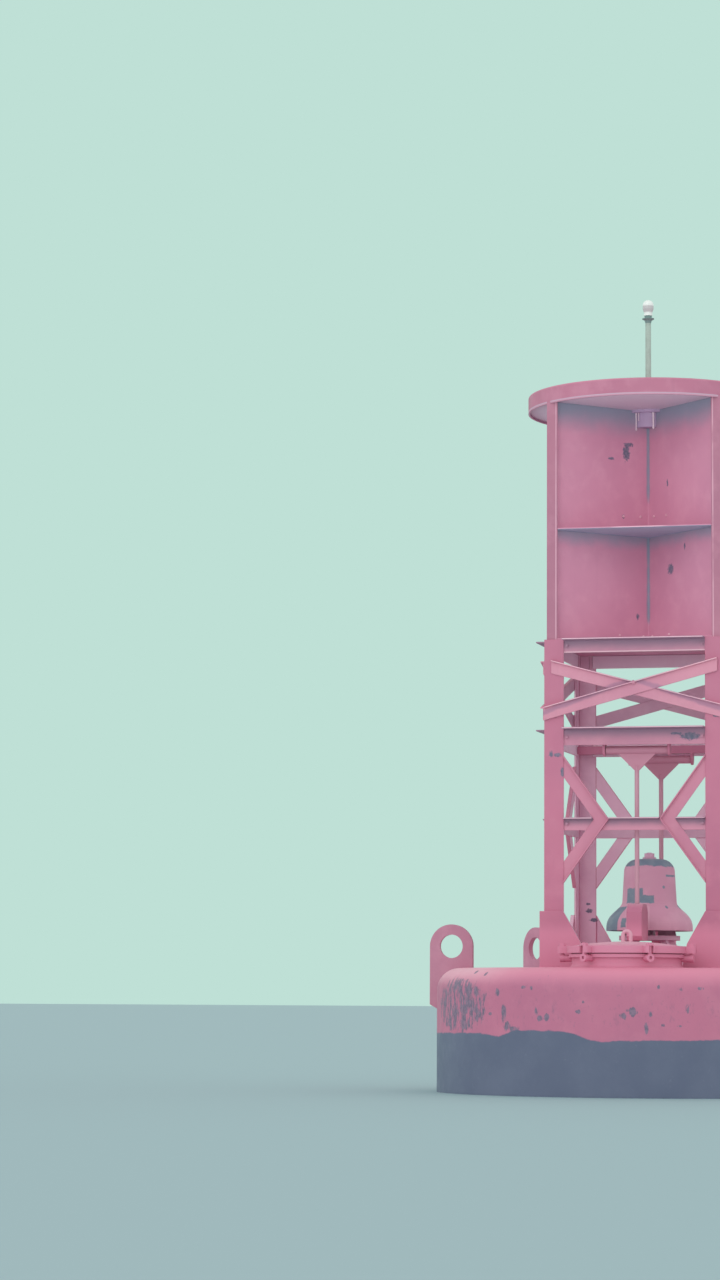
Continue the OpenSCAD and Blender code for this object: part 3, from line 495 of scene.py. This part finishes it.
def plate_shade_and_highlight(s, tone):
    """The upright plates' painted shadow, and a pale stretch in the middle of the front edge, worn paint and
    painted highlight.
    """
    stretch = s.both(s.band(s.x, -0.12, 0.17, 0.03), s.step(s.y, -0.40, -0.44))
    return s.mix(stretch, panel_shade(s, tone), WORN_AND_LIT_EDGE)


def disc_shading(s, tone):
    """Grey underside paler than the paint, painted light from below, darker towards the rim and at the lip."""
    low, high = (corner[2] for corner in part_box("top_disc"))
    # Painted light: the underside paler than the paint.
    under = s.mix(s.step(s.reach(), *UNDER_RIM_R), UNDERSIDE_LIT, UNDER_RIM, 0.75)
    tone = s.mix(s.step(s.z, *(low + up for up in UNDER_UP)), tone, under)
    tone = s.mix(s.step(s.z, *(low + up for up in LIP_UP)), tone, DISC_LIP, 0.95)
    # Painted highlight: the rim's top edge paler.
    return s.mix(s.step(s.z, *(high - down for down in RIM_DOWN)), tone, RED_PALE, 0.7)


# Bare places on the upright plates, the legs and the beams: middle, half sizes
PANEL_MARKS = [
    ((-0.113, -0.113, 3.685), (0.022, 0.022, 0.045)), ((-0.100, -0.100, 3.730), (0.030, 0.030, 0.012)),
    ((-0.188, -0.188, 3.640), (0.020, 0.020, 0.008)), ((0.157, -0.157, 2.992), (0.026, 0.026, 0.028)),
    ((0.253, -0.253, 3.110), (0.008, 0.008, 0.020)), ((-0.128, -0.128, 3.307), (0.008, 0.008, 0.012)),
    ((-0.058, -0.058, 2.730), (0.010, 0.010, 0.016)), ((0.136, -0.136, 3.495), (0.008, 0.008, 0.020)),
]
REAR_LEG_MARKS = [
    ((-0.450, 0.503, 1.091), (0.012, 0.02, 0.007)), ((-0.444, 0.503, 1.050), (0.016, 0.02, 0.012)),
    ((-0.414, 0.503, 0.996), (0.026, 0.02, 0.011)),
]
LEG_MARKS = REAR_LEG_MARKS + [
    ((-0.475, -0.515, 1.911), (0.012, 0.02, 0.015)), ((-0.440, -0.515, 1.905), (0.020, 0.02, 0.010)),
    ((-0.409, -0.515, 1.806), (0.010, 0.02, 0.026)), ((0.470, -0.515, 2.120), (0.020, 0.02, 0.012)),
    ((-0.503, 0.460, 2.420), (0.02, 0.030, 0.050)),
]
BEAM_MARKS = [
    ((0.315, -0.503, 2.004), (0.050, 0.02, 0.020)), ((0.240, -0.503, 2.020), (0.035, 0.02, 0.006)),
]

red = red_paint("red_paint", marks=LEG_MARKS, dressed=by_height)
# Pale paint for narrow plate edges: worn edges and painted highlight.
edge_paint = red_paint("edge_paint", EDGE, chips_at=0.70)
# Painted light: paler paints for the inward faces, the shaded braces and bars, and the rear beams.
inner_paint = red_paint("inner_paint", INNER, REAR_LEG_MARKS)
shaded_paint = red_paint("shaded_paint", SHADED)
beam_paint = red_paint("beam_paint", BEAM, BEAM_MARKS, dressed=beam_shade)
beam_inner = red_paint("beam_inner", BEAM_INNER, dressed=pale_patch)
panel_paint = red_paint("panel_paint", PANEL, PANEL_MARKS, 0.75, panel_shade)
disc_paint = red_paint("disc_paint", DISC, (), 0.76, disc_shading)
post_paint = red_paint("post_paint", POST, dressed=post_edge)
brace_paint = red_paint("brace_paint", BRACE, dressed=cross_shade)
knee_paint = red_paint("knee_paint", KNEE)
lid_paint = red_paint("lid_paint", dressed=lid_top_highlight)
plate_edge = red_paint("plate_edge", PLATE_EDGE, dressed=plate_shade_and_highlight)
tapper_paint = red_paint("tapper_paint", dressed=stem_paint)
lug_paint = red_paint("lug_paint", LUG)
foot_paint = red_paint("foot_paint", FOOT)
hull_red = hull_paint()
under_water = under_water_paint()
bell_red = bell_paint()
mast_grey = plain_finish("mast_grey", MAST_GREY, MAST_DULL, 30.0, (0.4, 0.6))
lantern_grey = plain_finish("lantern_grey", LANTERN_GREY, LANTERN_PALE, 60.0, (0.35, 0.5))
lens = lens_finish()

SIDES = ("front", "right", "rear", "left")
CORNERS = ("front_left", "front_right", "rear_right", "rear_left")
ENDS = ("front", "rear")
LUG_PLACES = ("right", "rear_left", "left", "front_right")
PLATES = ("reflector_bottom_plate", "reflector_mid_plate", "reflector_panel_main", "reflector_panel_cross")
# A face longer than the first and narrower on average than the second is a plate's edge
EDGE_LENGTH, EDGE_WIDTH = 0.15, 0.0105
# A face whose normal leans to the axis by more than this share is turned inward
INWARD = 0.4
# Points this near are taken as one, as are faces that meet within this many degrees
SAME_POINT, FLAT_WITHIN = 2e-5, 0.5
# Arrises over this many degrees are rounded by this much, and on the reflector's plates by the last
ARRIS_FROM, ARRIS_ROUND, PLATE_ROUND = 40, 0.002, 0.0015
# Ripples to the metre on beads and runs
RIPPLES = 90


def named(stem, ends):
    return [stem + "_" + end for end in ends]


def placed(name, data):
    """New object in the scene."""
    obj = bpy.data.objects.new(name, data)
    bpy.context.scene.collection.objects.link(obj)
    return obj


def put(name, mesh, body, slot, *materials):
    """Places a finished mesh as a piece on a body; its faces keep the numbers of their materials."""
    obj = placed(name, mesh)
    numbers = [face.material_index for face in mesh.polygons]
    mesh.materials.clear()
    for material in materials:
        mesh.materials.append(material)
    mesh.polygons.foreach_set("material_index", numbers)
    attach(obj, body)
    return obj


def soften(node, material, inward, edge, bevel=ARRIS_ROUND):
    """Copy of a steel piece with rounded arrises, in one paint for its narrow plate edges, one for the
    faces that are turned to the axis, and one for the rest."""
    mesh = frame["nodes"][node].data.copy()
    work = bmesh.new()
    work.from_mesh(mesh)
    bmesh.ops.remove_doubles(work, verts=work.verts, dist=SAME_POINT)
    bmesh.ops.dissolve_limit(work, angle_limit=math.radians(FLAT_WITHIN), verts=work.verts, edges=work.edges)
    for face in work.faces:
        longest = max(side.calc_length() for side in face.edges)
        narrow = longest > EDGE_LENGTH and face.calc_area() / longest < EDGE_WIDTH
        middle = face.calc_center_median() * Vector((1, 1, 0))
        turned_in = face.normal.dot(middle) < -INWARD * middle.length
        face.material_index = 1 if narrow else 2 if turned_in else 0
        face.smooth = False
    arrises = [side for side in work.edges
               if len(side.link_faces) == 2 and side.calc_face_angle(0.0) > math.radians(ARRIS_FROM)]
    bmesh.ops.bevel(work, geom=arrises, offset=bevel, segments=2, profile=0.5, affect="EDGES",
                    clamp_overlap=True)
    work.to_mesh(mesh)
    work.free()
    obj = put(node + "_skin", mesh, BODY_OF[node], SLOT_OF[node], material, edge, inward)
    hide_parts(node)


def dress(material, *names):
    """Gives CAD pieces their finished material."""
    for name in names:
        data = frame["nodes"][name].data
        data.materials.clear()
        data.materials.append(material)


def tube(work, path, radius, sides, ripple, taper=None):
    """Adds a round bar with a rippled surface along a path of points to a bmesh."""
    rings = []
    across = None
    for i, point in enumerate(path):
        ahead = path[min(i + 1, len(path) - 1)] - path[max(i - 1, 0)]
        ahead.normalize()
        across = ahead.orthogonal() if across is None else across - ahead * across.dot(ahead)
        across.normalize()
        up = ahead.cross(across)
        size = radius * (taper(i / (len(path) - 1)) if taper else 1.0)
        size *= 1 + ripple * noise.noise(point * RIPPLES)
        rings.append([work.verts.new(point + size * (math.cos(a) * across + math.sin(a) * up))
                      for a in (2 * math.pi * k / sides for k in range(sides))])
    for one, two in zip(rings, rings[1:]):
        for k in range(sides):
            work.faces.new((one[k], one[(k + 1) % sides], two[(k + 1) % sides], two[k])).smooth = True
    work.faces.new(rings[0][::-1])
    work.faces.new(rings[-1])


def stretch_out(corners, spacing):
    """Evenly spaced points along a line of corners."""
    corners = [Vector(c) for c in corners]
    points = [corners[0]]
    for one, two in zip(corners, corners[1:]):
        steps = max(1, round((two - one).length / spacing))
        points += [one.lerp(two, i / steps) for i in range(1, steps + 1)]
    return points


def turned(points, degrees):
    """Points turned round the buoy's axis."""
    turn = Matrix.Rotation(math.radians(degrees), 4, "Z")
    return [turn @ Vector(p) for p in points]


def mesh_from(work, name):
    """Mesh from a bmesh, which is freed."""
    mesh = bpy.data.meshes.new(name)
    bmesh.ops.recalc_face_normals(work, faces=work.faces)
    work.to_mesh(mesh)
    work.free()
    return mesh


# The hull's rounded edge, and the outer and inner ends of the foot plates
DECK_ROUND = 0.127
FOOT_OUT, FOOT_IN = -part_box("leg_front_left")[0][1], 0.273
# The lifting lugs: thickness, inner end, lower end, and turns in degrees from the right
LUG_T, LUG_IN, LUG_FOOT = 0.030, 1.036, 0.460
LUG_TURNS = (0, 135, 180, 315)
# The upright plates' thickness and the height where they start
PLATE_T, TOWER_TOP = 0.008, 2.572
# Beads on the deck and in the reflector: radius, spacing of their points, sides and ripple, and how far
# the lugs' beads stand off their faces
WELD_R, SEAM_R = 0.006, 0.005
WELD_STEP, SEAM_STEP = 0.008, 0.009
WELD_SIDES, WELD_RIPPLE, LUG_BEAD = 6, 0.5, 0.002


def bead(work, line, degrees, radius=WELD_R, spacing=WELD_STEP):
    """Weld bead along a line that is turned round the axis."""
    tube(work, stretch_out(turned(line, degrees), spacing), radius, WELD_SIDES, WELD_RIPPLE)


def add_welds():
    """Weld beads: feet on the deck, lifting lugs on the hull, and the reflector's crossing."""
    work = bmesh.new()
    foot = [(-FOOT_IN, -FOOT_OUT, DECK), (-FOOT_OUT, -FOOT_OUT, DECK), (-FOOT_OUT, -FOOT_IN, DECK)]
    for k in range(4):
        bead(work, foot, 90 * k)
    side = [(HULL_R, LUG_FOOT), (HULL_R, DECK - DECK_ROUND)]
    side += [(HULL_R - DECK_ROUND + DECK_ROUND * math.cos(a), DECK - DECK_ROUND + DECK_ROUND * math.sin(a))
             for a in (math.radians(d) for d in range(6, 91, 6))]
    side += [(LUG_IN, DECK)]
    for lug in LUG_TURNS:
        for face in (-1, 1):
            bead(work, [(r, face * (LUG_T / 2 + LUG_BEAD), z) for r, z in side], lug)
    put("welds", mesh_from(work, "welds"), "buoy", "red_paint", red)
    work = bmesh.new()
    mid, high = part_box("reflector_mid_plate"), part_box("mast_foot")[0][2]
    for k in range(4):
        for z0, z1 in ((TOWER_TOP, mid[0][2]), (mid[1][2], high)):
            bead(work, [(PLATE_T * 0.75, 0, z0), (PLATE_T * 0.75, 0, z1)], 90 * k, SEAM_R, SEAM_STEP)
    put("reflector_welds", mesh_from(work, "reflector_welds"), "buoy", "red_paint", panel_paint)


# Bolts of the tower: the one where the cross braces cross, and those along the front beams
CROSS_BOLT = (0.0, -0.5305, CROSS_Z)
BEAM_FACE, BEAM_BOLT_X, BEAM_BOLT_Z = 0.503, (-0.385, 0.385), (2.525, 2.005, 1.515)
# Bolts on the upright plates: distance from the axis, height
PLATE_BOLTS = ((0.182, 3.309), (0.061, 3.315), (0.208, 2.617), (0.042, 2.618))
# Sizes of bolts: the head across its flats, its height, and the length of the thread's end
CROSS_SIZE, BEAM_SIZE, PLATE_SIZE = (0.024, 0.010, 0.006), (0.020, 0.008, 0.006), (0.013, 0.005, 0.003)
# The thread's radius as a share of the head's flats, and the share of its width that a head keeps at the top
THREAD, HEAD_TOP = 0.3, 0.94


def bolt(work, middle, axis, degrees, flats, height, tip):
    """Hexagon head with a short round thread end standing out of it, turned round the buoy's axis."""
    middle, axis = turned([middle, axis], degrees)
    turn = axis.to_track_quat("Z", "Y").to_matrix().to_4x4()
    for sides, radius, z0, z1 in ((6, flats / math.sqrt(3), 0.0, height),
                                  (12, flats * THREAD, height, height + tip)):
        place = Matrix.Translation(middle) @ turn @ Matrix.Translation((0, 0, (z0 + z1) / 2))
        bmesh.ops.create_cone(work, cap_ends=True, segments=sides, radius1=radius, radius2=radius * HEAD_TOP,
                              depth=z1 - z0, matrix=place)


def add_bolts():
    """Bolt heads at the crossing of the braces, the ends of the beams and the reflector plates."""
    work = bmesh.new()
    for k in range(4):
        bolt(work, CROSS_BOLT, (0, -1, 0), 90 * k, *CROSS_SIZE)
    put("bolts", mesh_from(work, "bolts"), "buoy", "red_paint", brace_paint)
    work = bmesh.new()
    for k in range(4):
        for x in BEAM_BOLT_X:
            for z in BEAM_BOLT_Z:
                bolt(work, (x, -BEAM_FACE, z), (0, -1, 0), 90 * k, *BEAM_SIZE)
    put("beam_bolts", mesh_from(work, "beam_bolts"), "buoy", "red_paint", beam_paint)
    work = bmesh.new()
    for k in range(4):
        for out, z in PLATE_BOLTS:
            for side in (-1, 1):
                bolt(work, (out, side * PLATE_T / 2, z), (0, side, 0), 45 + 90 * k, *PLATE_SIZE)
    # The plate bolts take the pale edge paint: painted highlights.
    put("reflector_bolts", mesh_from(work, "reflector_bolts"), "buoy", "red_paint", edge_paint)


# Thickness of the mast foot's pad, how far the runs reach up into it, and their distance from the axis
PAD_T, DRIP_UP, DRIP_OUT = 0.015, 0.003, 0.090
# Steps along a run, its sides and its ripple
DRIP_STEPS, DRIP_SIDES, DRIP_RIPPLE = 14, 8, 0.3
# Each run's direction in degrees from the right, its length and its radius
DRIPS = (
    (-132, 0.105, 0.006), (-119, 0.050, 0.004), (-146, 0.070, 0.004), (-62, 0.100, 0.008), (-20, 0.040, 0.005),
    (75, 0.060, 0.006), (150, 0.045, 0.005),
)


def drop(t):
    """Thickness along a run: thinner downward, with a drop at its end."""
    return 1.0 - 0.55 * t + 0.5 * math.exp(-((t - 0.93) / 0.06) ** 2)


def add_drips():
    """Pale runs that hang from the pad of the mast foot."""
    work = bmesh.new()
    pad_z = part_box("mast_foot")[1][2] - PAD_T
    for degrees, length, radius in DRIPS:
        x, y = DRIP_OUT * math.cos(math.radians(degrees)), DRIP_OUT * math.sin(math.radians(degrees))
        line = [Vector((x, y, pad_z + DRIP_UP - i * length / DRIP_STEPS)) for i in range(DRIP_STEPS + 1)]
        tube(work, line, radius, DRIP_SIDES, DRIP_RIPPLE, drop)
    put("drips", mesh_from(work, "drips"), "buoy", "red_paint",
        plain_finish("drip", DRIP, DRIP_DULL, 40.0, (0.3, 0.5)))


for name in named("tapper_hanger", ENDS) + named("hatch_dogs", ENDS):
    soften(name, red, red, edge_paint)
for name in named("leg", CORNERS):
    soften(name, red, inner_paint, edge_paint)
for name in named("reflector_post", CORNERS):
    soften(name, post_paint, inner_paint, edge_paint)
for name in named("x_brace", SIDES):
    soften(name, brace_paint, shaded_paint, edge_paint)
for name in named("k_brace", SIDES):
    soften(name, knee_paint, inner_paint, edge_paint)
for name in named("lifting_lug", LUG_PLACES):
    soften(name, lug_paint, lug_paint, lug_paint)
# The bell stand takes the pale inner paint, painted light in the bell's shade.
soften("bell_stand", inner_paint, inner_paint, edge_paint)
for name in named("top_beam", SIDES) + named("lower_beam", SIDES):
    soften(name, beam_paint, beam_inner, edge_paint)
for name in named("mid_bar", SIDES):
    soften(name, beam_paint, shaded_paint, edge_paint)
for name in PLATES:
    soften(name, panel_paint, panel_paint, plate_edge, PLATE_ROUND)
dress(hull_red, "hull")
dress(under_water, "counterweight_tube", "counterweight", *named("mooring_lug", ENDS))
dress(disc_paint, "top_disc")
dress(bell_red, "bell")
dress(mast_grey, "mast")
dress(lantern_grey, "lantern_collar")
dress(lens, "lantern_lens")
dress(foot_paint, "mast_foot")
dress(lid_paint, *named("hatch_lid", ENDS))
dress(tapper_paint, *named("tapper", ENDS))
# The nut takes the pale inner paint, painted light in the shade.
dress(inner_paint, "bell_nut")
dress(red, *named("hatch_coaming", ENDS))
add_welds()
add_bolts()
add_drips()


def seen_directly(tree):
    """1 for rays of the camera, of reflections and through glass, 0 for the light that falls on things."""
    rays = tree.nodes.new("ShaderNodeLightPath")
    seen = rays.outputs["Is Camera Ray"]
    for kind in ("Is Glossy Ray", "Is Transmission Ray"):
        add = tree.nodes.new("ShaderNodeMath")
        add.operation = "MAXIMUM"
        tree.links.new(seen, add.inputs[0])
        tree.links.new(rays.outputs[kind], add.inputs[1])
        seen = add.outputs[0]
    return seen


def add_floor():
    """Plain pale floor at the waterline."""
    work = bmesh.new()
    bmesh.ops.create_circle(work, cap_ends=True, segments=FLOOR_SIDES, radius=FLOOR_R)
    floor = placed("floor", mesh_from(work, "floor"))
    mat = bpy.data.materials.new("floor")
    mat.use_nodes = True
    tree = mat.node_tree
    shader = tree.nodes["Principled BSDF"]
    shader.inputs["Roughness"].default_value = 0.9
    mix = tree.nodes.new("ShaderNodeMix")
    mix.data_type = "RGBA"
    mix.inputs[6].default_value, mix.inputs[7].default_value = rgb(*FLOOR_BOUNCE), rgb(*FLOOR)
    tree.links.new(seen_directly(tree), mix.inputs[0])
    tree.links.new(mix.outputs[2], shader.inputs["Base Color"])
    floor.data.materials.append(mat)


def along(way):
    """Turn of a lamp whose light goes the given way."""
    return Vector(way).to_track_quat("-Z", "Y").to_euler()


def add_sky():
    """Even white light from all round, and the sky's colour behind."""
    world = bpy.data.worlds.new("sky")
    bpy.context.scene.world = world
    world.use_nodes = True
    tree = world.node_tree
    back = tree.nodes["Background"]
    back.inputs["Color"].default_value = rgb(*SKY)
    light = tree.nodes.new("ShaderNodeBackground")
    light.inputs["Color"].default_value = (1.0, 1.0, 1.0, 1.0)
    light.inputs["Strength"].default_value = SKY_LEVEL
    mix = tree.nodes.new("ShaderNodeMixShader")
    tree.links.new(seen_directly(tree), mix.inputs[0])
    tree.links.new(light.outputs[0], mix.inputs[1])
    tree.links.new(back.outputs[0], mix.inputs[2])
    tree.links.new(mix.outputs[0], tree.nodes["World Output"].inputs["Surface"])


def add_lamps():
    """A soft lamp from the upper left and a level fill lamp."""
    sun = bpy.data.lights.new("sun", "SUN")
    sun.energy = SUN_LEVEL
    sun.angle = math.radians(SUN_ANGLE)
    placed("sun", sun).rotation_euler = along(SUN_WAY)
    fill = bpy.data.lights.new("fill", "AREA")
    fill.shape = "RECTANGLE"
    fill.size, fill.size_y = FILL_SIZE
    fill.energy = FILL_LEVEL
    fill.spread = math.radians(FILL_SPREAD)
    obj = placed("fill", fill)
    obj.location = FILL_PLACE
    obj.rotation_euler = along(Vector(FILL_AIM) - Vector(FILL_PLACE))
    obj.visible_camera = False


def add_camera():
    """Camera at the photograph's place and angle."""
    cam = bpy.data.cameras.new("camera")
    cam.lens = CAMERA_LENS
    cam.sensor_width = SENSOR
    cam.clip_end = FAR
    obj = placed("camera", cam)
    bpy.context.scene.camera = obj
    obj.location = CAMERA_PLACE
    obj.rotation_euler = [math.radians(a) for a in CAMERA_TURN]


add_floor()
add_sky()
add_lamps()
add_camera()
bpy.context.scene.view_settings.view_transform = "Standard"
